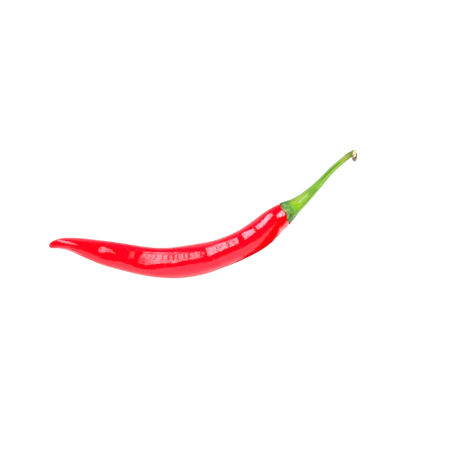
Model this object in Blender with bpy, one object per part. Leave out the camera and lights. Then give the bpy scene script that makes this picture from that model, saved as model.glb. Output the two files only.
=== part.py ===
# A red chilli pepper as picked, lying on its side: the long curved pod, the green calyx
# that caps its shoulder, the curved stem, the pale torn wood at the stem's end, and the
# dry strip of stalk skin that curls round it. The curve of the pod lies level. The pod
# touches down near its tip, under its belly and under its shoulder, round its weight,
# and carries the stem clear of the surface.
# Lengths are in millimetres here, and turn into metres where a vertex gets its place.

import bpy
import bmesh
from math import acos, atan2, cos, pi, radians, sin, sqrt, tan
from mathutils import Matrix, Vector

MM = 0.001
ON_SURFACE = 0.01 * MM

# The spine runs from the pod's tip to the stem's end. Each row gives a distance along
# it, and the way it heads there in degrees, from +X towards +Y.
BEND = ((0, 32), (6, 1), (11, -11), (18, -14.7), (26, -13.8), (33, -11.5), (44, -10.8),
        (50, -7), (58, -0.2), (66, 8.3), (76, 13), (86, 20.2), (97, 28.5), (104, 34.3),
        (111, 41), (118, 37.2), (126, 38), (136, 43.5), (145, 49), (151, 44.5),
        (156, 40), (160, 38), (163, 29), (166, 10))
SPINE_STEP = 0.25
SPINE_END = 168

# Height of the spine above the surface that the pod lies on. It is less than the
# radius by a hair at the three places where the pod touches down.
HEIGHT = ((0, 2.1), (5, 2.2), (11, 3.4), (21, 5.6), (30, 6.7), (44, 7.1), (56, 7.2),
          (66, 7.5), (74, 7.55), (82, 7.4), (94, 7.2), (104, 6.95), (110, 6.55),
          (115, 6.25), (120, 6.3), (126, 6.6), (136, 7.7), (150, 9.2), (166, 10.4))

# Radius of the pod, by distance from its tip. The calyx hides it past the rim.
POD_RADIUS = ((0, 0), (1.2, 1.45), (5, 2.4), (11, 3.35), (21, 5), (30, 6.1), (44, 6.8),
              (54, 7.15), (66, 7.7), (74, 7.6), (82, 7), (94, 6.85), (104, 7), (110, 6.75),
              (115, 6.15), (118.8, 5.6), (120.2, 5.05), (121.4, 4.2), (122.9, 0))
POD_SIDES = 28
POD_RINGS = 64
# Part of the rings that crowd towards the two round ends.
CROWDED_SHARE = 0.3

# Each lobe row: how many lobes, their share of the radius, and where they start to
# show and are full, by distance from the tip. The swell is a slow waver of the skin
# that goes round the pod as it runs along it. Both calm down under the calyx's rim.
POD_LOBES = ((3, 0.022, 96, 110), (2, 0.012, 14, 44))
LOBE_TURN = 0.3
SWELL_SHARE = 0.007
SWELL_LENGTH = 29
SWELL_WIND = 2
SWELL_FROM, SWELL_FULL = 14, 44
CALM_FROM, CALM_FULL = 114, 119

# The calyx is a funnel that stands over the end of the pod. Its rim is cut into blunt
# teeth, and ribs run from them up to the stem.
RIM_AT = 120.6
NECK_AT = 136
CALYX_RADIUS = ((120.6, 5.42), (121.6, 5.2), (124, 4.45), (126.5, 3.7), (131, 2.88), (136, 2.3))
CALYX_RINGS = 12
RINGS_SPREAD = 1.3
CALYX_CUP = ((123.6, 0), (123.4, 2.4), (122.9, 3.7), (122.1, 4.6), (121.2, 5.12))
CALYX_SIDES = 30
TOOTH_LENGTH = 0.5
RIM_FROM, RIM_GONE = 121.2, 123.6
# Waves of the rim: how many, their share of the tooth length, and where they start.
RIBS = 5
RIB_TURN = -3.05
RIM_WAVES = ((RIBS, 0.9, RIB_TURN), (3, 0.2, -2))
CALYX_RIB_SHARE = 0.035

# The rim isn't square to the spine: the side that faces this angle lies further along.
RIM_SLANT = ((100, 0), (112, 6), (120.6, 11), (126, 6), (136, 0))
RIM_SLANT_TOWARDS = 85

STEM_START = 136.3
STEM_END = 164
STEM_RADIUS = ((136.3, 2.27), (141, 1.85), (145.5, 1.55), (150.5, 1.4), (156, 1.33),
               (160, 1.3), (163, 1.38), (164, 1.45))
STEM_SIDES = 20
STEM_RINGS = 36
STEM_RIB_SHARE = 0.06

# The stalk broke at a slant of so many degrees. It is shortest on the side at this angle.
BREAK_SLANT = 35
BREAK_TURN = -35
BREAK_STARTS_AT = 159

# The torn wood is a low ragged knob, 0.3 mm clear of the stem.
WOOD = ((164.4, 0), (164.4, 1.25), (164.6, 1.4), (164.85, 1.35), (165, 0.85), (165.05, 0))
WOOD_SIDES = 16
WOOD_RAGGED = 0.08

# Each row of the dry skin, as seen from the middle of the stem's end: how far it lies
# along the stalk, sideways and upward, and its half thickness. It peels off beyond the
# end, curls round the wood, and hangs in a scrap that is ragged from this row on.
SKIN_PATH = ((1.2, 0.95, -2, 0.26), (1.7, 0.55, -2, 0.28), (2, -0.15, -2, 0.3),
             (1.9, -0.95, -2, 0.31), (1.45, -1.65, -2, 0.35), (0.75, -2.25, -2.05, 0.55),
             (0, -2.6, -2.15, 0.9), (-0.75, -2.8, -2.3, 1.05), (-1.5, -3, -2.4, 0.6))
SKIN_SIDES = 14
SKIN_RINGS = 30
SKIN_STEP = 0.05
SKIN_RAGGED = 0.16
RAGGED_FROM, RAGGED_FULL = 4, 6
SKIN_WIDTH_SHARE = 1.3
# How square the closed ends of the strip are.
SKIN_END_POWER = 16

# Colour, roughness and metallic value of each sub-part.
FINISHES = {
    "pod": ((0.80, 0.004, 0.010), 0.22, 0),
    "calyx": ((0.13, 0.33, 0.05), 0.45, 0),
    "stem": ((0.27, 0.48, 0.07), 0.45, 0),
    "stem_end": ((0.80, 0.76, 0.52), 0.8, 0),
    "dry_skin": ((0.21, 0.13, 0.09), 0.85, 0),
}


def smooth(rows, at):
    """Value at a distance along the rows, on a curve through all of them."""
    last = len(rows) - 1
    k = max(i for i in range(last) if i == 0 or rows[i][0] <= at)

    def slope(i):
        before, after = rows[max(i - 1, 0)], rows[min(i + 1, last)]
        return (after[1] - before[1]) / (after[0] - before[0])

    (x0, y0), (x1, y1) = rows[k], rows[k + 1]
    width = x1 - x0
    t = min(max((at - x0) / width, 0), 1)
    ease = t * t * (3 - 2 * t)
    return (y0 * (1 - ease) + y1 * ease
            + width * slope(k) * t * (1 - t) ** 2
            + width * slope(k + 1) * t * t * (t - 1))


def fade(start, end, at):
    """0 before start, 1 after end, and an eased rise between them."""
    t = min(max((at - start) / (end - start), 0), 1)
    return t * t * (3 - 2 * t)


def ragged(ring, angle):
    """A repeatable unevenness between -1 and 1, for torn surfaces."""
    coarse = 0.5 * sin(3 * angle + 2.1 * ring)
    fine = 0.3 * sin(5 * angle - 3.7 * ring)
    return coarse + fine + 0.2 * sin(9.4 * ring)


def walk_spine():
    """The spine's points in plan, one for each step, from the headings in BEND."""
    points = [Vector((0, 0))]
    for k in range(int(SPINE_END / SPINE_STEP)):
        heading = radians(smooth(BEND, (k + 0.5) * SPINE_STEP))
        points.append(points[-1] + SPINE_STEP * Vector((cos(heading), sin(heading))))
    return points


SPINE = walk_spine()


def spine_at(distance):
    """Centre of the spine, and the directions along it, level to its side, and upward."""
    place = distance / SPINE_STEP
    k = min(max(int(place), 0), len(SPINE) - 2)
    x, y = SPINE[k].lerp(SPINE[k + 1], place - k)
    heading = radians(smooth(BEND, distance))
    rise = smooth(HEIGHT, distance + 0.5) - smooth(HEIGHT, distance - 0.5)
    along = Vector((cos(heading), sin(heading), rise)).normalized()
    side = Vector((-sin(heading), cos(heading), 0))
    return Vector((x, y, smooth(HEIGHT, distance))), along, side, along.cross(side)


def around_spine(distance, radius, angle):
    """A point round the spine. Angle 0 is on top, and 90 degrees is on the +Y side."""
    centre, along, side, up = spine_at(distance)
    slant = tan(radians(smooth(RIM_SLANT, distance))) * cos(angle - radians(RIM_SLANT_TOWARDS))
    broken = tan(radians(BREAK_SLANT)) * fade(BREAK_STARTS_AT, STEM_END, distance)
    slant -= broken * cos(angle - radians(BREAK_TURN))
    return centre + radius * (cos(angle) * up + sin(angle) * side + slant * along)


def drawn_body(name, profile, sides, place):
    """A UV sphere whose rings are drawn out to the rows of a profile, pole to pole."""
    mesh = bmesh.new()
    rings = len(profile) - 1
    bmesh.ops.create_uvsphere(mesh, u_segments=sides, v_segments=rings, radius=1)
    for vertex in mesh.verts:
        ring = round(rings * acos(max(-1, min(1, -vertex.co.z))) / pi)
        angle = atan2(vertex.co.y, vertex.co.x)
        vertex.co = MM * place(ring, *profile[ring], angle)
    # Drawing along the spine mirrors the sphere, so its faces are turned round again.
    bmesh.ops.reverse_faces(mesh, faces=mesh.faces)
    return finished(name, mesh)


def finished(name, mesh):
    """An object with a finished mesh and its own material."""
    data = bpy.data.meshes.new(name)
    mesh.to_mesh(data)
    mesh.free()
    data.shade_smooth()
    colour, roughness, metallic = FINISHES[name]
    material = bpy.data.materials.new(name)
    material.use_nodes = True
    shader = material.node_tree.nodes["Principled BSDF"]
    shader.inputs["Base Color"].default_value = (*colour, 1)
    shader.inputs["Roughness"].default_value = roughness
    shader.inputs["Metallic"].default_value = metallic
    data.materials.append(material)
    return bpy.data.objects.new(name, data)


def press_flat(piece):
    """Cut off what lies below the surface, which leaves a small flat at each low spot."""
    mesh = bmesh.new()
    mesh.from_mesh(piece.data)
    geometry = mesh.verts[:] + mesh.edges[:] + mesh.faces[:]
    bmesh.ops.bisect_plane(mesh, geom=geometry, dist=ON_SURFACE, plane_co=(0, 0, 0),
                           plane_no=(0, 0, -1), clear_outer=True)
    for vertex in mesh.verts:
        if vertex.co.z < ON_SURFACE:
            vertex.co.z = 0
    open_edges = [edge for edge in mesh.edges if edge.is_boundary]
    bmesh.ops.holes_fill(mesh, edges=open_edges, sides=0)
    bmesh.ops.recalc_face_normals(mesh, faces=mesh.faces)
    mesh.to_mesh(piece.data)
    mesh.free()


def make_pod():
    """The pod. The squared radius is what runs smoothly, so both ends close in a round."""
    squares = [(at, radius ** 2) for at, radius in POD_RADIUS]
    length = POD_RADIUS[-1][0]
    profile = []
    for k in range(POD_RINGS + 1):
        share = k / POD_RINGS
        crowded = (1 - cos(pi * share)) / 2
        distance = length * (share + CROWDED_SHARE * (crowded - share))
        profile.append((distance, sqrt(max(smooth(squares, distance), 0))))

    def place(ring, distance, radius, angle):
        turn = 2 * pi * distance / SWELL_LENGTH + SWELL_WIND * sin(angle)
        uneven = SWELL_SHARE * fade(SWELL_FROM, SWELL_FULL, distance) * sin(turn)
        for lobes, share, start, full in POD_LOBES:
            uneven += share * fade(start, full, distance) * cos(lobes * (angle + LOBE_TURN))
        uneven *= 1 - fade(CALM_FROM, CALM_FULL, distance)
        return around_spine(distance, radius * (1 + uneven), angle)

    pod = drawn_body("pod", profile, POD_SIDES, place)
    press_flat(pod)
    return pod


def make_calyx():
    """The funnel: its cup over the pod, its toothed rim, its ribbed outside and its neck."""
    profile = list(CALYX_CUP)
    for k in range(CALYX_RINGS + 1):
        distance = RIM_AT + (NECK_AT - RIM_AT) * (k / CALYX_RINGS) ** RINGS_SPREAD
        profile.append((distance, smooth(CALYX_RADIUS, distance)))
    profile.append((NECK_AT, 0))

    def place(ring, distance, radius, angle):
        teeth = sum(share * cos(waves * angle + turn) for waves, share, turn in RIM_WAVES)
        reach = TOOTH_LENGTH * teeth * (1 - fade(RIM_FROM, RIM_GONE, distance))
        outside = ring >= len(CALYX_CUP)
        ribs = CALYX_RIB_SHARE * outside * cos(RIBS * angle + RIB_TURN)
        return around_spine(distance - reach, radius * (1 + ribs), angle)

    return drawn_body("calyx", profile, CALYX_SIDES, place)


def make_stem():
    """The ribbed stalk, which ends in a slanted break."""
    profile = [(STEM_START, 0)]
    for k in range(STEM_RINGS + 1):
        distance = STEM_START + (STEM_END - STEM_START) * k / STEM_RINGS
        profile.append((distance, smooth(STEM_RADIUS, distance)))
    profile.append((STEM_END, 0))

    def place(ring, distance, radius, angle):
        ribs = STEM_RIB_SHARE * cos(RIBS * angle + RIB_TURN)
        return around_spine(distance, radius * (1 + ribs), angle)

    return drawn_body("stem", profile, STEM_SIDES, place)


def make_stem_end():
    """The pale torn wood that shows in the break."""

    def place(ring, distance, radius, angle):
        torn = WOOD_RAGGED * ragged(ring, angle)
        return around_spine(distance, radius * (1 + torn), angle)

    return drawn_body("stem_end", WOOD, WOOD_SIDES, place)


def make_dry_skin():
    """The strip of dry skin and its ragged scrap, drawn along SKIN_PATH."""
    end, along, side, up = spine_at(STEM_END)
    rows = range(len(SKIN_PATH))
    forward, across, raised, half = [
        [(k, SKIN_PATH[k][column]) for k in rows] for column in range(4)]

    def path(at):
        return (end + smooth(forward, at) * along + smooth(across, at) * side
                + smooth(raised, at) * up)

    profile = []
    for k in range(SKIN_RINGS + 1):
        share = k / SKIN_RINGS
        at = share * rows[-1]
        closing = sqrt(1 - abs(2 * share - 1) ** SKIN_END_POWER)
        profile.append((at, smooth(half, at) * closing))

    def place(ring, at, radius, angle):
        ahead = path(at + SKIN_STEP) - path(at - SKIN_STEP)
        outward = up.cross(ahead).normalized()
        torn = 1 + SKIN_RAGGED * fade(RAGGED_FROM, RAGGED_FULL, at) * ragged(ring, angle)
        flat = cos(angle) * SKIN_WIDTH_SHARE * up + sin(angle) * outward
        return path(at) + torn * radius * flat

    return drawn_body("dry_skin", profile, SKIN_SIDES, place)


def centre_over_origin(pieces):
    """Move the meshes so that the middle of the whole chilli's box is over the origin."""
    corners = [vertex.co for piece in pieces for vertex in piece.data.vertices]
    middle = [(min(c[axis] for c in corners) + max(c[axis] for c in corners)) / 2 for axis in (0, 1)]
    for piece in pieces:
        piece.data.transform(Matrix.Translation((-middle[0], -middle[1], 0)))


def main():
    for old in list(bpy.data.objects):
        bpy.data.objects.remove(old, do_unlink=True)
    chilli = bpy.data.collections.new("chilli_pepper")
    bpy.context.scene.collection.children.link(chilli)
    pieces = [make_pod(), make_calyx(), make_stem(), make_stem_end(), make_dry_skin()]
    centre_over_origin(pieces)
    for piece in pieces:
        chilli.objects.link(piece)


main()
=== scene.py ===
# One red chilli pepper as picked, laid on its side: the glossy pod, the green calyx with its
# toothed rim, the grooved stalk, the pale torn wood at the stalk's end, and the dry skin that
# curls round it. Shapes are worked out in millimetres along a bent spine, from the pod's tip.
from bisect import bisect_right
from functools import lru_cache
from math import acos, atan2, cos, pi, radians, sin, sqrt, tan

import bmesh
import bpy
from mathutils import Matrix, Vector, noise


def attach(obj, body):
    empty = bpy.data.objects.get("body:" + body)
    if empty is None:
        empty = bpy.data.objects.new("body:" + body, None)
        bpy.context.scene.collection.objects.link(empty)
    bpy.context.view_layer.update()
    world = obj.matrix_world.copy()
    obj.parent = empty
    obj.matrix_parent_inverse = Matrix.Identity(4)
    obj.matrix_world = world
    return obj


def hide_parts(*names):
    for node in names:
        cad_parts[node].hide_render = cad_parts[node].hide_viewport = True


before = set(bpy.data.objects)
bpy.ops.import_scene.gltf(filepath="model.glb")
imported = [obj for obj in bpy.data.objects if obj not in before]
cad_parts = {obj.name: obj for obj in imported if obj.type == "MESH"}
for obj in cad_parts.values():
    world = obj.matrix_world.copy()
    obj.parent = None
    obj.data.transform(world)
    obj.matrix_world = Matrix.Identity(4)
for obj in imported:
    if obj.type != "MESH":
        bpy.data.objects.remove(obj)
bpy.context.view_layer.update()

mm = 0.001
print("frame:", ", ".join(sorted(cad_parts)))


spine = {
    # distance from the tip, and the heading there in degrees, from +X towards +Y
    "bend": ((0, 32), (6, 1), (11, -11), (18, -14.7), (26, -13.8), (33, -11.5), (44, -10.8),
             (50, -7), (58, -0.2), (66, 8.3), (76, 13), (86, 20.2), (97, 28.5), (104, 34.3),
             (111, 41), (118, 37.2), (126, 38), (136, 43.5), (145, 49), (151, 44.5),
             (156, 40), (160, 38), (163, 29), (166, 10)),
    # height of the spine above the ground
    "height": ((0, 2.1), (5, 2.2), (11, 3.4), (21, 5.6), (30, 6.7), (44, 7.1), (56, 7.2),
               (66, 7.5), (74, 7.55), (82, 7.4), (94, 7.2), (104, 6.95), (110, 6.55),
               (115, 6.25), (120, 6.3), (126, 6.6), (136, 7.7), (150, 9.2), (166, 10.4)),
    "step": 0.25,
    "end": 168,
    # the calyx's rim isn't square to the spine, and leans towards this angle
    "rimSlant": ((100, 0), (112, 6), (120.6, 11), (126, 6), (136, 0)),
    "slantTowards": radians(85),
    # the stalk broke at a slant, and is shortest on the side at this angle
    "breakSlant": radians(35),
    "breakTurn": radians(-35),
    "breakFrom": 159,
    "breakAt": 164,
}


def alongRows(rows, at):  # the value at a place, on a smooth curve through the rows
    last = len(rows) - 1
    k = min(max(bisect_right(rows, at, key=lambda row: row[0]) - 1, 0), last - 1)

    def slope(i):
        before, after = rows[max(i - 1, 0)], rows[min(i + 1, last)]
        return (after[1] - before[1]) / (after[0] - before[0])

    (x0, y0), (x1, y1) = rows[k], rows[k + 1]
    width = x1 - x0
    t = min(max((at - x0) / width, 0), 1)
    ease = t * t * (3 - 2 * t)
    return (y0 * (1 - ease) + y1 * ease
            + width * slope(k) * t * (1 - t) ** 2
            + width * slope(k + 1) * t * t * (t - 1))


def fade(start, end, at):  # 0 before start, 1 after end, eased between
    t = min(max((at - start) / (end - start), 0), 1)
    return t * t * (3 - 2 * t)


def hump(middle, width, at):  # 1 in the middle, 0 a width away
    return 1 - fade(0, width, abs(at - middle))


def numbered(rows):  # each column of the rows, with the rows' numbers as its places
    return [[(k, row[column]) for k, row in enumerate(rows)] for column in range(len(rows[0]))]


def walkSpine():
    points = [Vector((0, 0))]
    for k in range(int(spine["end"] / spine["step"])):
        heading = radians(alongRows(spine["bend"], (k + 0.5) * spine["step"]))
        points.append(points[-1] + spine["step"] * Vector((cos(heading), sin(heading))))
    return points


spinePoints = walkSpine()
# the tip is the end of the solids that lies furthest towards -X, so the spine starts there
tip = min((v.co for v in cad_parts["pod"].data.vertices), key=lambda co: co.x) / mm


@lru_cache(maxsize=None)
def spineAt(distance):  # centre, and the ways along, to the side (+Y) and up
    place = distance / spine["step"]
    k = min(max(int(place), 0), len(spinePoints) - 2)
    x, y = spinePoints[k].lerp(spinePoints[k + 1], place - k)
    heading = radians(alongRows(spine["bend"], distance))
    behind, height, ahead = [
        alongRows(spine["height"], at) for at in (distance - 0.5, distance, distance + 0.5)]
    along = Vector((cos(heading), sin(heading), ahead - behind)).normalized()
    side = Vector((-sin(heading), cos(heading), 0))
    centre = Vector((x + tip.x, y + tip.y, height))
    slant = tan(radians(alongRows(spine["rimSlant"], distance)))
    broken = tan(spine["breakSlant"]) * fade(spine["breakFrom"], spine["breakAt"], distance)
    return centre, along, side, along.cross(side), slant, broken


def aroundSpine(distance, radius, angle):  # angle 0 is on top, 90 degrees is to the side
    centre, along, side, up, slant, broken = spineAt(distance)
    shear = slant * cos(angle - spine["slantTowards"])
    shear -= broken * cos(angle - spine["breakTurn"])
    return centre + radius * (cos(angle) * up + sin(angle) * side + shear * along)


def unrolled(distance, radius, angle):  # the same place on a straight chilli, for patterns
    return Vector((distance, radius * sin(angle), radius * cos(angle)))


def grain(place, along, around, turn=0):  # smooth noise, -1 to 1, of two lengths in mm
    return noise.noise(Vector((place.x / along + turn, place.y / around, place.z / around)))


# Each row is a ring of the piece. For a point of a ring, place gives where it goes, where it
# is on the straight chilli, and three marks for the finish.
def drawPiece(name, rows, sides, place, finish, node):
    mesh = bmesh.new()
    rings = len(rows) - 1
    bmesh.ops.create_uvsphere(mesh, u_segments=sides, v_segments=rings, radius=1)
    mesh.verts.index_update()
    many = len(mesh.verts)

    def order(face):  # the sphere's own order of faces changes from run to run
        corners = [vertex.index for vertex in face.verts]
        return (min(corners) * many + max(corners)) * many + sum(corners) % many

    mesh.faces.sort(key=order)
    straight = mesh.verts.layers.float_vector.new("straight")
    marks = mesh.verts.layers.float_vector.new("marks")
    for vertex in mesh.verts:
        ring = round(rings * acos(max(-1, min(1, -vertex.co.z))) / pi)
        angle = atan2(vertex.co.y, vertex.co.x)
        point, unbent, marked = place(ring, *rows[ring], angle)
        vertex.co = (point.x * mm, point.y * mm, max(point.z, 0) * mm)
        vertex[straight] = unbent
        vertex[marks] = marked
    bmesh.ops.reverse_faces(mesh, faces=mesh.faces)  # the spine mirrors the sphere
    data = bpy.data.meshes.new(name)
    mesh.to_mesh(data)
    mesh.free()
    data.shade_smooth()
    data.materials.append(finish)
    piece = bpy.data.objects.new(name, data)
    bpy.context.scene.collection.objects.link(piece)
    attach(piece, "root")
    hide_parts(node)
    print("made", name, "with", len(data.polygons), "faces")
    return piece


class Wire:  # a socket of a material, whose arithmetic adds Math nodes
    def __init__(self, paint, socket):
        self.paint = paint
        self.socket = socket

    def math(self, operation, *values):
        settings = {"operation": operation}
        return self.paint.add("ShaderNodeMath", settings, dict(enumerate(values)))

    def __add__(self, other):
        return self.math("ADD", self, other)

    def __radd__(self, other):
        return self.math("ADD", other, self)

    def __sub__(self, other):
        return self.math("SUBTRACT", self, other)

    def __rsub__(self, other):
        return self.math("SUBTRACT", other, self)

    def __mul__(self, other):
        return self.math("MULTIPLY", self, other)

    def __rmul__(self, other):
        return self.math("MULTIPLY", other, self)


class Paint:  # a material with a Principled shader
    def __init__(self, name, **constants):
        self.material = bpy.data.materials.new(name)
        self.material.use_nodes = True
        self.tree = self.material.node_tree
        self.shader = self.tree.nodes["Principled BSDF"]
        for socket, value in constants.items():
            self.shader.inputs[socket.replace("_", " ")].default_value = value

    def add(self, kind, settings, values, output=0):
        node = self.tree.nodes.new(kind)
        for setting, value in settings.items():
            if setting == "stops":
                while len(node.color_ramp.elements) < len(value):
                    node.color_ramp.elements.new(1)
                for element, (position, colour) in zip(node.color_ramp.elements, value):
                    element.position = position
                    element.color = (*colour, 1)
            else:
                setattr(node, setting, value)
        for socket, value in values.items():
            self.give(node.inputs[socket], value)
        return Wire(self, node.outputs[output])

    def give(self, socket, value):
        if isinstance(value, Wire):
            self.tree.links.new(value.socket, socket)
        elif isinstance(value, tuple) and len(value) == 3 and socket.type == "RGBA":
            socket.default_value = (*value, 1)
        else:
            socket.default_value = value

    def marks(self, name):
        read = self.add("ShaderNodeAttribute", {"attribute_name": name}, {}, "Vector")
        return [self.add("ShaderNodeSeparateXYZ", {}, {0: read}, axis) for axis in range(3)]

    def noise(self, along, around, detail, turn=0.0):  # 0 to 1, of two lengths in mm
        read = self.add("ShaderNodeAttribute", {"attribute_name": "straight"}, {}, "Vector")
        place = self.add("ShaderNodeMapping", {}, {
            "Vector": read, "Location": (turn, 0, 0),
            "Scale": (1 / along, 1 / around, 1 / around)})
        return self.add("ShaderNodeTexNoise", {}, {
            "Vector": place, "Scale": 1.0, "Detail": detail, "Roughness": 0.5})

    def between(self, low, high, value):  # 0 at low, 1 at high, eased
        return self.add("ShaderNodeMapRange", {"interpolation_type": "SMOOTHSTEP"}, {
            "Value": value, "From Min": low, "From Max": high})

    def tint(self, colour, other, value, low, high, most):  # blends in most of other at high
        return self.blend(self.between(low, high, value) * most, colour, other)

    def blend(self, share, first, second):
        values = {0: share, 6: first, 7: second}  # 6 and 7 take colours, output 2 gives one
        return self.add("ShaderNodeMix", {"data_type": "RGBA"}, values, 2)

    def bump(self, height):  # height in mm
        values = {"Height": height, "Distance": mm, "Strength": 1.0}
        return self.add("ShaderNodeBump", {}, values)

    def finish(self, colour, rough, normal):
        self.give(self.shader.inputs["Base Color"], colour)
        self.give(self.shader.inputs["Roughness"], rough)
        self.give(self.shader.inputs["Normal"], normal)
        return self.material


pod = {
    "radius": ((0, 0), (1.2, 1.45), (5, 2.4), (11, 3.35), (21, 5), (30, 6.1), (44, 6.8),
               (54, 7.15), (66, 7.7), (74, 7.6), (82, 7), (94, 6.85), (104, 7), (110, 6.75),
               (115, 6.15), (118.8, 5.6), (120.2, 5.05), (121.4, 4.2), (122.9, 0)),
    "rings": 400,
    "sides": 128,
    "crowded": 0.3,  # share of the rings that crowd towards the round ends
    # how many lobes, their share of the radius, and where they start and are full
    "lobes": ((3, 0.022, 96, 110), (2, 0.012, 14, 44)),
    "lobeTurn": 0.3,
    # a low swell winds round the pod: its share of the radius, and its length in mm
    "swell": 0.007,
    "swellLength": 29,
    "swellWind": 2,
    "swellFrom": (14, 44),
    "calm": (114, 119),  # all unevenness calms down towards the calyx
    "beak": (0.58, 9),  # how far the tip is drawn out towards -X, and where that ends
    # small relief of the skin: height, length along and length around, in mm
    "relief": ((0.035, 7, 6), (0.010, 2.2, 5)),
    "reliefFrom": (0, 3),
    "red": (0.97, 0.0006, 0.0135),
    "deepRed": (0.94, 0.0003, 0.0020),
    "warmRed": (0.97, 0.0020, 0.0060),
    # the bluer red of a painted reflection on the +Y flank
    "coolRed": (0.97, 0.0010, 0.0300),
    # patterns of the skin: length along and around in mm, detail, and turn
    "patches": (14, 9, 3),
    "streaks": (9, 0.9, 2, 3.0),
    "fine": (0.55, 2.2, 2, 7.0),
    "specks": (0.28, 0.28, 1, 1.0),
    "dullSpots": (0.8, 1.1, 1, 6.0),
    "sheen": (1.1, 2.6, 2, 5.0),
    # where a tint starts and is full, and how much of it there is then
    "deepPatches": (0.4, 0.75, 0.6),
    "warmStreaks": (0.55, 0.8, 0.5),
    # painted reflection: the +Y flank is a cooler, bluer red
    "coolSide": (0.45, 0.8, 0.9),
    # painted shade: the lower side of the shoulder turns deep red, over this stretch, between
    # these sides and this much
    "shoulder": (90.0, 102.0),
    "shoulderSide": (0.1, -0.4),
    "shoulderMost": 0.9,
    # dull spots: where the pattern makes them, and between which sides of the pod they lie
    "dullFrom": (0.52, 0.66),
    "dullSides": ((-0.4, -0.1), (0.85, 0.65)),
    # roughness without them, what the sheen and the spots add, and relief in mm
    "smooth": 0.08,
    "sheenRough": 0.05,
    "dullRough": 0.24,
    "fineHeight": 0.003,
    "speckHeight": 0.0015,
}


def podFinish():
    paint = Paint("podSkin", IOR=1.5)
    distance = paint.marks("straight")[0]
    sideways = paint.marks("marks")[0]
    patches = paint.noise(*pod["patches"])
    streaks = paint.noise(*pod["streaks"])
    colour = paint.tint(pod["red"], pod["deepRed"], patches, *pod["deepPatches"])
    # painted shade: a deeper red on the lower side of the shoulder
    shoulder = paint.between(*pod["shoulder"], distance)
    shoulder = shoulder * paint.between(*pod["shoulderSide"], sideways)
    colour = paint.blend(shoulder * pod["shoulderMost"], colour, pod["deepRed"])
    colour = paint.tint(colour, pod["warmRed"], streaks, *pod["warmStreaks"])
    # painted reflection: a bluer red on the +Y flank
    colour = paint.tint(colour, pod["coolRed"], sideways, *pod["coolSide"])
    height = paint.noise(*pod["fine"]) * pod["fineHeight"]
    height = height + paint.noise(*pod["specks"]) * pod["speckHeight"]
    dull = paint.between(*pod["dullFrom"], paint.noise(*pod["dullSpots"]))
    for side in pod["dullSides"]:
        dull = dull * paint.between(*side, sideways)
    rough = pod["smooth"] + pod["sheenRough"] * paint.noise(*pod["sheen"])
    return paint.finish(colour, rough + dull * pod["dullRough"], paint.bump(height))


# squares of the radii, whose curve rounds both ends off
podSquares = [(at, radius ** 2) for at, radius in pod["radius"]]


@lru_cache(maxsize=None)
def podRadius(distance):
    return sqrt(max(alongRows(podSquares, distance), 0))


def podWide(distance, angle):  # radius with lobes, swell and relief
    turn = 2 * pi * distance / pod["swellLength"] + pod["swellWind"] * sin(angle)
    uneven = pod["swell"] * fade(*pod["swellFrom"], distance) * sin(turn)
    for lobes, share, start, full in pod["lobes"]:
        uneven += share * fade(start, full, distance) * cos(lobes * (angle + pod["lobeTurn"]))
    radius = podRadius(distance)
    unbent = unrolled(distance, radius, angle)
    relief = sum(height * grain(unbent, *lengths) for height, *lengths in pod["relief"])
    calm = 1 - fade(*pod["calm"], distance)
    return radius * (1 + uneven * calm) + relief * fade(*pod["reliefFrom"], distance) * calm


def podPoint(distance, angle, wide):
    drawnOut, end = pod["beak"]
    further = drawnOut * (1 - fade(0, end, distance))
    return aroundSpine(distance, wide, angle) - Vector((further, 0, 0))


def makePod():
    length = pod["radius"][-1][0]
    rows = []
    for k in range(pod["rings"] + 1):
        share = k / pod["rings"]
        crowded = (1 - cos(pi * share)) / 2
        distance = length * (share + pod["crowded"] * (crowded - share))
        rows.append((distance, podRadius(distance)))

    def place(ring, distance, radius, angle):
        wide = podWide(distance, angle) if radius else 0
        unbent = unrolled(distance, radius, angle)
        return podPoint(distance, angle, wide), unbent, (sin(angle), cos(angle), 0)

    return drawPiece("podSkin", rows, pod["sides"], place, podFinish(), "pod")


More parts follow.
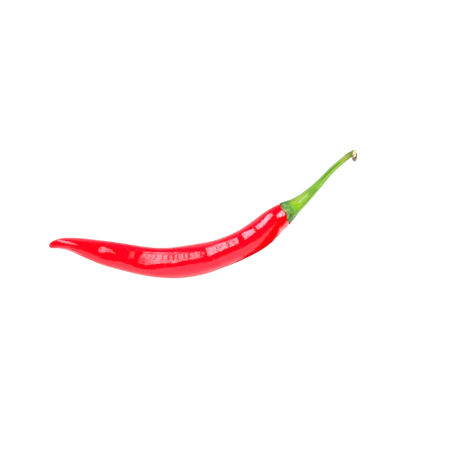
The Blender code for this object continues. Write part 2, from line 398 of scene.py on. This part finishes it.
green = {
    "ribs": 5,
    "ribTurn": -3.05,
    # share of the radius that the ribs stand out, from the rim to the stalk
    "ribShare": ((120, 0.035), (128, 0.035), (136, 0.06), (164, 0.06)),
    "veins": 10,
    "veinTurn": 0.2,
    "veinHeight": 0.05,
    "veinsFrom": (119, 124),
    # bumps of the skin: height, length along and length around, in mm, and turn
    "bumps": ((0.03, 5, 1.1), (0.02, 1.2, 0.9, 4)),
    # a dark groove runs along the top of the stalk: where it starts, is full, ebbs and ends,
    # its angle and half width in degrees, and its depth
    "groove": (143, 147, 156, 159),
    "grooveAngle": ((136, 24), (147, 13), (152, 12), (160, 8)),
    "grooveWidth": 12,
    "grooveDepth": 0.16,
    # the stretch that is painted, and the colours along it
    "painted": (120, 166),
    "colours": ((120, (0.14, 0.23, 0.055)), (122.5, (0.16, 0.32, 0.08)),
                (125, (0.15, 0.42, 0.04)), (127.5, (0.28, 0.54, 0.02)),
                (131, (0.33, 0.54, 0.035)), (136, (0.22, 0.46, 0.035)),
                (145, (0.19, 0.44, 0.05)), (153, (0.21, 0.42, 0.055)),
                (157, (0.29, 0.49, 0.06)), (159.6, (0.39, 0.43, 0.10)),
                (161.3, (0.27, 0.40, 0.05)), (162.8, (0.25, 0.34, 0.055)),
                (163.6, (0.20, 0.20, 0.05)), (164.2, (0.17, 0.12, 0.04))),
    # lime on one side of the stalk, a pale painted sheen on the other: how much, and where
    # they lie
    "lime": (0.31, 0.58, 0.06),
    "limeMost": 0.85,
    "limeSide": (0.0, -0.4),
    "limeFrom": (137.5, 144.0),
    "limeUntil": (154.0, 159.0),
    # the colour of the painted sheen on the +Y side
    "pale": (0.42, 0.64, 0.29),
    "paleSheenMost": 0.8,
    "paleSheenSide": (0.6, 0.95),
    "paleSheenFrom": (123.0, 134.0),
    # blots: distance, sideways share, half length in mm, half width, colour and share of it
    # the first blot is a painted highlight on the calyx's neck
    "blots": ((132.0, 0.1, 4.2, 0.24, (0.44, 0.69, 0.34), 0.75),
              (127.4, -0.05, 2.3, 0.34, (0.23, 0.54, 0.001), 1.0),
              (124.8, 0.15, 1.0, 0.3, (0.17, 0.47, 0.10), 0.6),
              (132.5, -0.6, 7.0, 0.17, (0.13, 0.38, 0.02), 0.9),
              (137.5, -0.1, 3.0, 0.45, (0.15, 0.34, 0.055), 0.7),
              # the next two blots, pale along the -Y edge, are painted light
              (138.0, -0.95, 6.5, 0.26, (0.70, 0.82, 0.36), 0.85),
              (127.5, -0.97, 4.0, 0.16, (0.46, 0.68, 0.12), 0.8),
              # the dark blots at the rim's sides, these two and the one at sideways 0.75, are
              # partly the calyx's own dark green and partly painted shade
              (122.8, -0.85, 2.2, 0.3, (0.17, 0.28, 0.08), 0.9),
              (122.4, -0.5, 1.7, 0.3, (0.10, 0.19, 0.04), 0.9),
              (121.0, -0.1, 1.2, 0.25, (0.30, 0.34, 0.09), 0.6),
              (122.4, 0.75, 2.4, 0.35, (0.11, 0.31, 0.06), 0.8),
              (130.0, 0.47, 5.5, 0.2, (0.36, 0.58, 0.006), 0.85),
              (128.6, 0.5, 4.5, 0.1, (0.58, 0.44, 0.10), 0.8),
              (159.8, -0.8, 1.7, 0.5, (0.58, 0.38, 0.07), 0.95),
              (157.6, 0.1, 1.0, 0.5, (0.42, 0.40, 0.10), 0.6),
              (161.6, 0.8, 2.0, 0.3, (0.20, 0.22, 0.05), 0.7)),
    "blotEdge": (1.2, 0.2),
    "blotBend": 1.2,  # how far the pattern of bends pushes the blots about
    # mottles of the calyx: colour, where it starts and is full in the pattern, and how much
    "mottles": (((0.33, 0.57, 0.24), 0.52, 0.64, 0.7), ((0.05, 0.17, 0.02), 0.47, 0.38, 0.75)),
    "mottlesEnd": (123.0, 127.5),
    "veinDark": (0.10, 0.27, 0.03),
    "veinPale": (0.46, 0.66, 0.12),
    "grooveDark": (0.03, 0.085, 0.012),
    # patterns: length along and around in mm, detail, and turn
    "bends": (1.4, 0.9, 2, 4.0),
    "mottle": (2.1, 1.2, 2, 2.0),
    "lines": (7, 0.32, 2, 1.0),
    "threads": (3, 0.3, 2, 5.0),
    "pores": (0.3, 0.3, 2, 6.0),
    "sheen": (1.5, 1.0, 2, 9.0),
    # where a tint starts and is full, and how much of it there is then
    "darkLines": (0.54, 0.68, 0.6),
    "paleLines": (0.46, 0.30, 0.45),
    # relief in mm, and roughness with what the sheen adds
    "threadHeight": 0.04,
    "poreHeight": 0.012,
    "smooth": 0.38,
    "sheenRough": 0.15,
}


def ribbed(distance, radius, angle):  # height of the skin over the plain round, in mm
    share = alongRows(green["ribShare"], distance)
    ribs = share * cos(green["ribs"] * angle + green["ribTurn"])
    veins = green["veinHeight"] * cos(green["veins"] * angle + green["veinTurn"])
    start, full, ebb, end = green["groove"]
    reach = fade(start, full, distance) * (1 - fade(ebb, end, distance))
    middle = radians(alongRows(green["grooveAngle"], distance))
    groove = reach * hump(middle, radians(green["grooveWidth"]), angle)
    unbent = unrolled(distance, radius, angle)
    bumps = sum(height * grain(unbent, *pattern) for height, *pattern in green["bumps"])
    height = radius * ribs + veins * fade(*green["veinsFrom"], distance) + bumps
    return height - green["grooveDepth"] * groove, groove


def greenFinish(name):
    paint = Paint(name, IOR=1.45, Specular_IOR_Level=0.12)
    distance = paint.marks("straight")[0]
    sideways, _, groove = paint.marks("marks")
    start, end = green["painted"]
    stops = tuple(((at - start) / (end - start), colour) for at, colour in green["colours"])
    along = (distance - start) * (1 / (end - start))
    colour = paint.add("ShaderNodeValToRGB", {"stops": stops}, {0: along})
    lime = 1 - paint.between(*green["limeUntil"], distance)
    lime = paint.between(*green["limeFrom"], distance) * lime
    lime = paint.between(*green["limeSide"], sideways) * lime
    colour = paint.blend(lime * green["limeMost"], colour, green["lime"])
    # a pale painted sheen along the +Y side of the calyx's neck and the stalk
    pale = paint.between(*green["paleSheenSide"], sideways)
    pale = pale * paint.between(*green["paleSheenFrom"], distance)
    colour = paint.blend(pale * green["paleSheenMost"], colour, green["pale"])
    crooked = paint.noise(*green["bends"]) * green["blotBend"] - green["blotBend"] / 2
    # blots of colour, some of them painted light: a highlight, a lit lower edge and partly
    # shaded rim corners
    for place, aside, long, wide, tint, share in green["blots"]:
        off = (distance - place) * (1 / long) + crooked
        side = (sideways - aside) * (1 / wide) - crooked
        spot = paint.between(*green["blotEdge"], off * off + side * side)
        colour = paint.blend(spot * share, colour, tint)
    rim = 1 - paint.between(*green["mottlesEnd"], distance)
    mottle = paint.noise(*green["mottle"])
    for tint, low, high, most in green["mottles"]:
        share = paint.between(low, high, mottle) * rim * most
        colour = paint.blend(share, colour, tint)
    lines = paint.noise(*green["lines"])
    colour = paint.tint(colour, green["veinDark"], lines, *green["darkLines"])
    colour = paint.tint(colour, green["veinPale"], lines, *green["paleLines"])
    colour = paint.blend(groove, colour, green["grooveDark"])
    height = paint.noise(*green["threads"]) * green["threadHeight"]
    height = height + paint.noise(*green["pores"]) * green["poreHeight"]
    rough = green["smooth"] + green["sheenRough"] * paint.noise(*green["sheen"])
    return paint.finish(colour, rough, paint.bump(height))


calyx = {
    "rimAt": 120.6,
    "neckAt": 136.4,
    "radius": ((120.6, 5.42), (121.6, 5.2), (124, 4.45), (126.5, 3.7), (131, 2.88), (136, 2.3),
               (136.4, 2.22)),
    # the hollow that faces the pod, from its middle to the rim
    "cup": ((123.6, 0), (123.5, 1.3), (123.4, 2.4), (122.9, 3.7), (122.1, 4.6), (121.5, 4.95),
            (121.0, 5.15), (120.75, 5.28)),
    "rings": 120,
    "spread": 1.3,  # the rings crowd towards the rim
    "sides": 180,
    # how far the teeth reach, and where they have sunk into the funnel
    "tooth": 0.5,
    "toothGone": (121.2, 123.6),
    # waves of the rim: how many, their share of the tooth, and their turn
    "rimWaves": ((5, 0.9, -3.05), (3, 0.2, -2), (17, 0.13, 1), (29, 0.1, 2.4)),
}


def makeCalyx():
    rows = list(calyx["cup"])
    for k in range(calyx["rings"] + 1):
        reach = (calyx["neckAt"] - calyx["rimAt"]) * (k / calyx["rings"]) ** calyx["spread"]
        distance = calyx["rimAt"] + reach
        rows.append((distance, alongRows(calyx["radius"], distance)))
    rows.append((calyx["neckAt"], 0))

    def place(ring, distance, radius, angle):
        teeth = sum(
            share * cos(waves * angle + turn) for waves, share, turn in calyx["rimWaves"])
        reach = calyx["tooth"] * teeth * (1 - fade(*calyx["toothGone"], distance))
        outside = ring >= len(calyx["cup"])
        height, groove = ribbed(distance, radius, angle) if outside else (0, 0)
        unbent = unrolled(distance, radius, angle)
        point = aroundSpine(distance - reach, radius + height, angle)
        return point, unbent, (sin(angle), cos(angle), groove)

    finish = greenFinish("calyxFunnel")
    return drawPiece("calyxFunnel", rows, calyx["sides"], place, finish, "calyx")


stalk = {
    "start": 134.6,
    "startSunk": 0.06,  # inside the calyx's neck, which it leaves flush
    "flushAt": 136.2,
    "radius": ((131, 2.88), (136.3, 2.27), (141, 1.85), (145.5, 1.55), (150.5, 1.4),
               (156, 1.33), (160, 1.3), (163, 1.38), (164, 1.45)),
    "rings": 300,
    "sides": 96,
}


def makeStalk():
    rows = [(stalk["start"], 0)]
    for k in range(stalk["rings"] + 1):
        distance = stalk["start"] + (spine["breakAt"] - stalk["start"]) * k / stalk["rings"]
        rows.append((distance, alongRows(stalk["radius"], distance)))
    rows.append((spine["breakAt"], 0))

    def place(ring, distance, radius, angle):
        height, groove = ribbed(distance, radius, angle)
        sunk = stalk["startSunk"] * (1 - fade(stalk["start"], stalk["flushAt"], distance))
        full = radius + (height - sunk if radius else 0)
        unbent = unrolled(distance, radius, angle)
        return aroundSpine(distance, full, angle), unbent, (sin(angle), cos(angle), groove)

    finish = greenFinish("stalkRod")
    return drawPiece("stalkRod", rows, stalk["sides"], place, finish, "stem")


wood = {
    # distance and radius, from inside the stalk to the middle of the torn face
    "rows": ((163.6, 0), (163.8, 1.2), (164.3, 1.33), (164.6, 1.4), (165.05, 1.28),
             (165.3, 0.95), (165.3, 0.45), (165.35, 0)),
    "rings": 40,
    "sides": 64,
    # waves of its outline: their share, how many, and their turn
    "torn": ((0.5, 3, 2.1), (0.3, 5, -3.7), (0.2, 11, 0)),
    "tornShare": 0.08,
    # fibres that stand out of the face, and the radius at which they start and are full
    "fibreReach": 0.12,
    "fibreGrain": (3, 0.25),
    "fibresFrom": (0.1, 0.5),
    "pale": (0.86, 0.88, 0.50),
    "side": (0.30, 0.24, 0.07),
    "sideEnds": (164.5, 165.15),
    "fibre": (0.72, 0.68, 0.26),
    # pattern of the fibres, where their tint starts and is full, how much there is, and relief
    "fibres": (2, 0.16, 2, 3.0),
    "fibreTint": (0.5, 0.7, 0.5),
    "fibreHeight": 0.12,
    "rough": 0.75,
}


def makeWood():
    distances, radii = numbered(wood["rows"])
    rows = []
    for k in range(wood["rings"] + 1):
        at = k / wood["rings"] * (len(wood["rows"]) - 1)
        rows.append((alongRows(distances, at), max(alongRows(radii, at), 0)))

    def place(ring, distance, radius, angle):
        torn = sum(share * sin(waves * angle + turn) for share, waves, turn in wood["torn"])
        unbent = unrolled(distance, radius, angle)
        reach = wood["fibreReach"] * grain(unbent, *wood["fibreGrain"])
        reach *= fade(*wood["fibresFrom"], radius)
        wide = radius * (1 + wood["tornShare"] * torn)
        point = aroundSpine(distance + reach, wide, angle)
        return point, unbent, (sin(angle), cos(angle), radius)

    paint = Paint("tornEnd")
    fibres = paint.noise(*wood["fibres"])
    colour = paint.tint(wood["pale"], wood["fibre"], fibres, *wood["fibreTint"])
    distance = paint.marks("straight")[0]
    colour = paint.blend(paint.between(*wood["sideEnds"], distance), wood["side"], colour)
    finish = paint.finish(colour, wood["rough"], paint.bump(fibres * wood["fibreHeight"]))
    return drawPiece("tornEnd", rows, wood["sides"], place, finish, "stem_end")


shred = {
    # as seen from the stalk's end: place along, sideways and upward, and half thickness
    "path": ((0.95, 0.95, -2, 0.26), (1.45, 0.55, -2, 0.28), (1.62, -0.15, -2, 0.3),
             (1.52, -0.95, -2, 0.31), (1.25, -1.65, -2, 0.35), (0.65, -2.25, -2.05, 0.55),
             (0, -2.6, -2.15, 0.9), (-0.75, -2.8, -2.3, 1.05), (-1.5, -3, -2.4, 0.6)),
    "rings": 160,
    "sides": 56,
    "endPower": 16,  # how bluntly both ends close
    "step": 0.05,  # how far apart along the path its heading is read
    "wide": 1.3,  # how much wider than thick
    # two patterns of crumpling, with their strength, and how ragged strip and clump are
    "crumples": ((0.9, 0.5, 0.5), (0.4, 0.16, 0.2, 5)),
    "ragged": 0.12,
    "clumpRagged": 0.32,
    "raggedFrom": (4, 6),
    "strip": (0.24, 0.14, 0.06),
    "stripPale": (0.66, 0.50, 0.16),
    "clump": (0.09, 0.08, 0.12),
    "clumpTan": (0.66, 0.52, 0.30),
    "clumpRust": (0.50, 0.22, 0.05),
    # patterns, and where a tint starts and is full, and how much of it there is then
    "crumple": (0.4, 0.3, 2, 2.5),
    "crumpleHeight": 0.25,
    "rust": (0.7, 0.7, 1, 8.0),
    "paleOutside": (0.4, 0.9, 1.0),
    "tanCrumples": (0.48, 0.56, 1.0),
    "rustSpots": (0.54, 0.62, 0.8),
    "clumpFrom": (4.4, 5.4),
    "rough": 0.8,
}


def makeShred():
    end, along, side, up = spineAt(spine["breakAt"])[:4]
    ahead, across, raised, half = numbered(shred["path"])

    def path(at):
        return (end + alongRows(ahead, at) * along + alongRows(across, at) * side
                + alongRows(raised, at) * up)

    rows = []
    for k in range(shred["rings"] + 1):
        share = k / shred["rings"]
        at = share * (len(shred["path"]) - 1)
        closing = sqrt(max(1 - abs(2 * share - 1) ** shred["endPower"], 0))
        rows.append((at, alongRows(half, at) * closing))

    def place(ring, at, radius, angle):
        onward = path(at + shred["step"]) - path(at - shred["step"])
        outward = up.cross(onward).normalized()
        spot = Vector((at, radius * sin(angle), radius * cos(angle)))
        torn = sum(
            strength * grain(spot, *pattern) for strength, *pattern in shred["crumples"])
        ragged = shred["ragged"] + shred["clumpRagged"] * fade(*shred["raggedFrom"], at)
        flat = cos(angle) * shred["wide"] * up + sin(angle) * outward
        return path(at) + radius * (1 + torn * ragged) * flat, spot, (at, sin(angle), 0)

    paint = Paint("dryShred")
    crumple = paint.noise(*shred["crumple"])
    rust = paint.noise(*shred["rust"])
    passed, outside = paint.marks("marks")[:2]
    strip = paint.tint(shred["strip"], shred["stripPale"], outside, *shred["paleOutside"])
    clump = paint.tint(shred["clump"], shred["clumpTan"], crumple, *shred["tanCrumples"])
    clump = paint.tint(clump, shred["clumpRust"], rust, *shred["rustSpots"])
    colour = paint.blend(paint.between(*shred["clumpFrom"], passed), strip, clump)
    finish = paint.finish(colour, shred["rough"], paint.bump(crumple * shred["crumpleHeight"]))
    return drawPiece("dryShred", rows, shred["sides"], place, finish, "dry_skin")


makePod()
makeCalyx()
makeStalk()
makeWood()
makeShred()


view = {
    "centre": (10.26, -5.22),  # what the middle of the frame looks at, in mm
    "width": 216,  # mm across the frame at the chilli's own height
    "chilliHeight": 7,
    "distance": 900,
    "sensor": 36,
}
eye = Vector((*view["centre"], view["distance"] + view["chilliHeight"]))


def makeCamera():
    camera = bpy.data.cameras.new("camera")
    camera.sensor_width = view["sensor"]
    camera.lens = view["sensor"] * view["distance"] / view["width"]
    holder = bpy.data.objects.new("camera", camera)
    holder.location = eye * mm
    bpy.context.scene.collection.objects.link(holder)
    bpy.context.scene.camera = holder


studio = {
    "floorSize": 6,  # metres
    "floorUnder": 0.05,  # mm below the chilli
    "floorRough": 0.9,
    "floorColour": (0.38, 0.38, 0.38),
    "floorGlow": 0.75,
    # mm from the middle where the glow starts to fade and where it ends, and what is left
    "floorFade": (165, 330),
    "floorLeft": (0.38, 0.39, 0.40),
    "surroundings": (0.76, 0.77, 0.78),
    # panels: azimuth and elevation in degrees, distance and size in metres, and power in watts
    "panels": ((0, 90, 1.7, 2.6, 38), (90, 35, 2.0, 1.6, 17.5), (210, 35, 2.0, 1.6, 12.5),
               (330, 35, 2.0, 1.6, 11.5)),
}


def makeFloor():
    paint = Paint("floor", Roughness=studio["floorRough"], Specular_IOR_Level=0,
                  Emission_Strength=studio["floorGlow"])
    paint.give(paint.shader.inputs["Base Color"], studio["floorColour"])
    place = paint.add("ShaderNodeTexCoord", {}, {}, "Object")
    outward = paint.add("ShaderNodeVectorMath", {"operation": "LENGTH"}, {0: place}, "Value")
    start, end = studio["floorFade"]
    left = paint.between(start * mm, end * mm, outward)
    glow = paint.blend(left, (1, 1, 1), studio["floorLeft"])
    paint.give(paint.shader.inputs["Emission Color"], glow)
    mesh = bmesh.new()
    bmesh.ops.create_grid(mesh, x_segments=1, y_segments=1, size=studio["floorSize"] / 2)
    bmesh.ops.translate(mesh, verts=mesh.verts, vec=(0, 0, -studio["floorUnder"] * mm))
    data = bpy.data.meshes.new("floor")
    mesh.to_mesh(data)
    mesh.free()
    data.materials.append(paint.material)
    floor = bpy.data.objects.new("floor", data)
    floor.visible_glossy = False  # only the small lamps show in the pod's gloss
    floor.visible_shadow = False
    bpy.context.scene.collection.objects.link(floor)


def makeLights():
    world = bpy.data.worlds.new("surroundings")  # pale behind the floor, and lights nothing
    world.use_nodes = True
    background = world.node_tree.nodes["Background"]
    background.inputs["Color"].default_value = (*studio["surroundings"], 1)
    world.cycles_visibility.diffuse = False
    world.cycles_visibility.glossy = False
    bpy.context.scene.world = world
    for k, (azimuth, elevation, distance, size, power) in enumerate(studio["panels"]):
        flat = cos(radians(elevation))
        towards = Vector((flat * cos(radians(azimuth)), flat * sin(radians(azimuth)),
                          sin(radians(elevation))))
        lamp = bpy.data.lights.new("panel%d" % k, "AREA")
        lamp.energy = power
        lamp.size = size
        lamp.cycles.use_multiple_importance_sampling = False
        panel = bpy.data.objects.new(lamp.name, lamp)
        panel.location = towards * distance
        panel.rotation_mode = "QUATERNION"
        panel.rotation_quaternion = towards.to_track_quat("Z", "Y")
        panel.visible_glossy = False
        panel.visible_camera = False
        bpy.context.scene.collection.objects.link(panel)


# Small lamps that show only in the gloss. Each row of them hangs where the pod mirrors it to
# the camera along a stretch of skin: distance from the tip, upper and lower angle, and glow.
shine = {
    # the lamps' reach from the pod in mm, their size along it in mm and round it in degrees,
    # and the width of their beam in degrees: narrow when close, against glare in other views
    "window": {"reach": 2.5, "apart": 1.5, "tall": 8, "beam": 60},
    "wrinkled": {"reach": 2.5, "apart": 0.6, "tall": 8, "beam": 60},
    "sheet": {"reach": 30, "apart": 4, "tall": 90, "beam": 180},
    "beamLeft": 0.88,  # share of a narrow beam's light that is left on average over a lamp
    # steps along the pod in mm and round it in radians, over which the skin's slope is read
    "stepAlong": 0.2,
    "stepRound": 0.02,
    "tints": {"cool": (0.9, 1.0, 1.2), "blue": (1.0, 1.0, 1.45), "even": (1.0, 1.0, 1.12),
              "warm": (1.0, 1.0, 0.95)},
    # rows of even glow
    "windows": (
        ((4.4, 56, 36, 5), (5.5, 48, 26, 6.5), (6.5, 38, 16, 7.5), (8, 30, 9, 7.5),
         (9.5, 24, 5, 7.5), (11, 19, 2, 5.5), (12.8, 15, 2, 4), (14.6, 11, 4, 2.5)),
        ((25, 12, 2, 2), (25.7, 22, -1, 4), (26.5, 32, -1, 6.5), (27.5, 29, 2, 7.5),
         (28.4, 26, 5, 5.5), (29.2, 25, 8, 3), (30.2, 26, 11, 5.5), (31, 22, 10, 4),
         (32.2, 17, 7, 2), (33, 13, 7, 0.6)),
        ((39.3, 32, -4, 0.3), (40, 34, -4, 1), (40.6, 34, 6, 1.8), (41.4, 34, 5, 2.2),
         (42, 28, 4, 0.3)),
        ((97.3, 42, 12, 9), (98.4, 43, 12, 10), (100.8, 40, 14.5, 10.5), (102, 37, 15.5, 10),
         (103.6, 34, 17, 9)),
        ((104.8, 38, 20, 6), (105.4, 38, 17.5, 10), (106.8, 39, 17.5, 11),
         (108, 37.5, 17, 11), (109.2, 39, 19.5, 11.5), (110.4, 42, 20, 12),
         (111.6, 46, 22.5, 12), (112.8, 48, 24.5, 10), (114, 47, 26.5, 7.5),
         (114.9, 45, 29, 5)),
        ((116.2, 17, 7, 8), (117.4, 20.5, 3, 15), (118.8, 22, -2, 15), (120.6, 24, -9, 15.5)),
    ),
    # rows that wrinkles break up, and the wrinkles: distance, depth and half width
    "broken": (
        (((44.5, 14, 10, 0.8), (45.3, 26, 12, 3), (46.5, 32, 12, 6.5), (49.5, 32, 12, 7.5),
          (53.5, 32, 12, 9), (58, 32, 12, 8.5), (62.5, 32, 12, 8), (66, 31, 12, 8.2),
          (70.5, 29, 12, 7), (72.5, 28.5, 12, 8.3), (75.5, 27, 12, 4.5), (76.4, 22, 12, 1)),
         ((47.9, 0.6, 0.7), (50, 0.4, 0.6), (52.2, 0.35, 0.6), (55.9, 0.7, 0.9),
          (59, 1, 1.2), (61.4, 1, 1.3), (63.4, 0.85, 0.8), (64.9, 0.4, 0.6), (66.7, 1, 0.8),
          (68.9, 1, 1.2), (71.3, 0.6, 0.7), (74.7, 1, 0.9))),
        (((44.3, 9, -9, 0.8), (45, 12, -12, 1.6), (46.5, 12, -13, 1.8),
          (48.3, 12, -12.5, 4.2), (49.5, 12, -9.5, 4.8), (51, 12, -7, 7), (53, 12, -3, 9),
          (55, 12, -1, 6.5), (57, 12, 1, 7), (59, 12, 1, 6), (60.5, 12, 0.5, 7.5),
          (62.6, 12, 1.5, 7.5), (64, 12, 3.5, 6.5), (66, 12, 5, 5.5), (72, 12, 5, 6.2),
          (73.5, 12, 5, 4), (75.8, 12, 6, 1)),
         ((46.8, 0.4, 0.6), (55.1, 0.5, 0.7), (59, 0.5, 0.7), (63.7, 0.6, 0.7),
          (65.4, 0.7, 0.7), (68.4, 0.7, 0.8))),
        (((45.6, 40, 32, 2), (47, 44, 32, 3.6), (50, 44, 32, 2), (52.5, 46, 32, 5),
          (55, 46, 32, 5), (57, 46, 32, 2.8), (60, 43, 32, 2.6), (62.8, 44, 32, 3.8),
          (64.5, 40, 31, 2.4), (67, 38, 30, 2.4), (69, 34, 29, 1), (75, 31, 27, 0.8)),
         ((61.3, 0.6, 0.6), (68.9, 0.6, 0.7))),
        (((77.6, 34, 4, 6), (79.1, 35, 3, 10), (80.4, 35, 6.5, 10.5), (82.8, 36, 9, 11),
          (85.2, 38, 10.5, 11), (87.6, 38, 12.5, 11), (90, 36, 11, 10.5),
          (92.4, 36, 10.5, 11), (94, 36, 12, 11)),
         ((80.9, 0.4, 0.7), (83.1, 0.6, 0.8), (88.8, 1, 1.1), (91.8, 0.6, 0.9))),
        (((77.4, 39, 34, 4), (80.4, 42, 35, 4.5), (85.2, 45, 38, 5.5), (90, 41, 36, 4.5),
          (94, 40, 36, 6)),
         ((82.2, 0.2, 0.6), (88.7, 0.3, 0.9))),
    ),
    # wide rows of even glow, with their tint
    "sheets": (
        ("blue", ((0.5, 30, -50, 1.7), (3, 14, -50, 1.5), (6, -4, -50, 1.0),
                  (9, -18, -50, 0.75), (12, -22, -50, 0.8), (16, -19, -50, 1.0),
                  (21, -18, -50, 1.15), (24, -21, -50, 1.1), (27, -26, -50, 1.1),
                  (30, -31, -50, 1.15), (34, -22, -50, 1.2), (38, -22, -50, 1.2),
                  (42, -28, -50, 1.15), (45, -33, -50, 1.2), (48, -33.5, -50, 1.2),
                  (51, -29, -50, 1.15), (54, -26, -50, 1.15), (57, -16, -50, 1.2),
                  (60, -15, -50, 1.2), (63, -13, -50, 1.2), (66, -11, -50, 1.2),
                  (71, -10, -50, 1.2), (75, -13.5, -50, 1.2), (78, -19, -50, 1.15),
                  (81, -15.5, -50, 1.15), (84, -12, -50, 1.2), (90, -10, -50, 1.25),
                  (93, -10.5, -50, 1.35), (96, -10.5, -50, 1.4), (99, -12, -44, 1.3),
                  (102, -13, -35, 1.5), (105, -12, -26, 1.35), (108, -6, -19, 1.5),
                  (111, -8, -14, 1), (113, -7, -13, 0.8))),
        ("even", ((0.5, -50, -67, 1.3), (3, -50, -67, 1.3), (6, -50, -67, 0.75),
                  (9, -50, -67, 0.45), (12, -50, -67, 0.5), (15, -50, -67, 0.65),
                  (20, -50, -67, 1), (55, -50, -67, 1.2), (72, -50, -67, 1.5),
                  (76, -50, -67, 1.9), (90, -50, -66, 1.6), (93, -50, -62, 1.2))),
        ("even", ((73, -38, -50, 0.5), (80, -42, -50, 0.5), (87, -37, -50, 0.8),
                  (91, -37, -50, 0.7))),
        ("warm", ((0.5, -67, -82, 0.9), (6, -67, -82, 0.7), (10, -67, -82, 0.5),
                  (18, -67, -82, 0.55), (26, -67, -82, 0.75), (45, -67, -82, 0.7),
                  (84, -67, -82, 0.8), (89, -66, -78, 0.7))),
        ("even", ((108.5, -67, -70, 0.6), (111, -56, -62, 0.9), (112.3, -49, -61, 2),
                  (114, -44, -60, 3.6), (117, -40, -60, 3.6), (119, -35, -60, 3.2),
                  (121, -33, -60, 3))),
        ("even", ((108.5, -70, -86, 0.7), (111, -62, -86, 1.1), (114, -60, -86, 1.3),
                  (117, -60, -86, 1.4), (121, -60, -86, 1.2))),
        ("even", ((3, 66, 50, 0.75), (8, 66, 42, 0.75), (15, 66, 38, 0.7),
                  (18, 66, 46, 0.65), (21, 66, 52, 0.6), (25, 66, 57, 0.6),
                  (34, 66, 61, 0.3), (60, 66, 62, 0.25), (66, 66, 60, 0.4),
                  (72, 66, 52, 0.6), (76, 66, 48, 0.7), (80, 66, 51, 0.6), (86, 66, 57, 0.6),
                  (100, 66, 57, 0.65), (105, 66, 52, 0.85), (109, 66, 55, 0.75),
                  (114, 66, 60, 0.4), (120, 66, 60, 0.4))),
        ("even", ((3, 87, 66, 0.5), (13, 87, 66, 0.5), (18, 87, 66, 0.6), (27, 87, 66, 0.68),
                  (33, 87, 66, 0.4), (38, 87, 66, 0.45), (52, 87, 66, 0.52),
                  (60, 87, 66, 0.7), (66, 87, 66, 0.6), (74, 87, 66, 1), (80, 87, 66, 0.75),
                  (108, 87, 66, 0.8), (114, 87, 66, 0.45), (120, 87, 66, 0.45))),
    ),
}


# The place at this reach from the pod that the camera sees mirrored in the skin.
def mirroredPlace(distance, angle, reach):
    def skinAt(at, turn):
        return podPoint(at, turn, podWide(at, turn))

    here = skinAt(distance, angle)
    along, around = shine["stepAlong"], shine["stepRound"]
    ahead = skinAt(distance + along, angle) - skinAt(distance - along, angle)
    aside = skinAt(distance, angle + around) - skinAt(distance, angle - around)
    outward = ahead.cross(aside).normalized()
    seen = (eye - here).normalized()
    return here + reach * (2 * seen.dot(outward) * outward - seen)


def hangLamp(name, corners, away, beam, glow, tint):  # away leads to it from the skin
    onward = (corners[1] + corners[2] - corners[0] - corners[3]) / 2
    upward = (corners[0] + corners[1] - corners[2] - corners[3]) / 2
    raised = (upward - away * upward.dot(away)).normalized()
    across = raised.cross(away)
    lamp = bpy.data.lights.new(name, "AREA")
    lamp.shape = "RECTANGLE"
    lamp.size = abs(onward.dot(across)) * mm
    lamp.size_y = upward.dot(raised) * mm
    lamp.energy = glow * pi * lamp.size * lamp.size_y
    lamp.spread = radians(beam)
    if beam < 180:
        gathered = tan(lamp.spread / 2) / (tan(lamp.spread / 2) - lamp.spread / 2)
        lamp.energy /= gathered * shine["beamLeft"]
    lamp.color = tint
    box = bpy.data.objects.new(name, lamp)
    box.matrix_world = Matrix((across, raised, away)).transposed().to_4x4()
    box.location = sum(corners, Vector()) / 4 * mm
    box.visible_camera = False
    box.visible_diffuse = False
    bpy.context.scene.collection.objects.link(box)


def hangRow(name, kind, tint, stretch, wrinkles=()):
    places = [Vector(stretch[0])]
    for start, end in zip(stretch, stretch[1:]):
        parts = max(1, round((end[0] - start[0]) / kind["apart"]))
        places += [Vector(start).lerp(Vector(end), k / parts) for k in range(1, parts + 1)]
    for k, (start, end) in enumerate(zip(places, places[1:])):
        distance, upper, lower, glow = (start + end) / 2
        for place, depth, width in wrinkles:
            glow *= 1 - depth * hump(place, width, distance)
        count = max(1, round((upper - lower) / kind["tall"]))
        for part in range(count):
            top, bottom = part / count, (part + 1) / count
            corners = [
                mirroredPlace(at, radians(high + (low - high) * share), kind["reach"])
                for (at, high, low, _), share in (
                    (start, top), (end, top), (end, bottom), (start, bottom))]
            angle = radians(upper + (lower - upper) * (top + bottom) / 2)
            away = mirroredPlace(distance, angle, 1) - mirroredPlace(distance, angle, 0)
            hangLamp("%s%d_%d" % (name, k, part), corners, away, kind["beam"], glow, tint)


makeCamera()
makeFloor()
makeLights()
for k, stretch in enumerate(shine["windows"]):
    hangRow("window%d_" % k, shine["window"], shine["tints"]["cool"], stretch)
for k, (stretch, wrinkles) in enumerate(shine["broken"]):
    hangRow("broken%d_" % k, shine["wrinkled"], shine["tints"]["cool"], stretch, wrinkles)
for k, (tint, stretch) in enumerate(shine["sheets"]):
    hangRow("sheet%d_" % k, shine["sheet"], shine["tints"][tint], stretch)
print("hung", len(bpy.data.lights), "lights")
bpy.context.scene.view_settings.view_transform = "Standard"
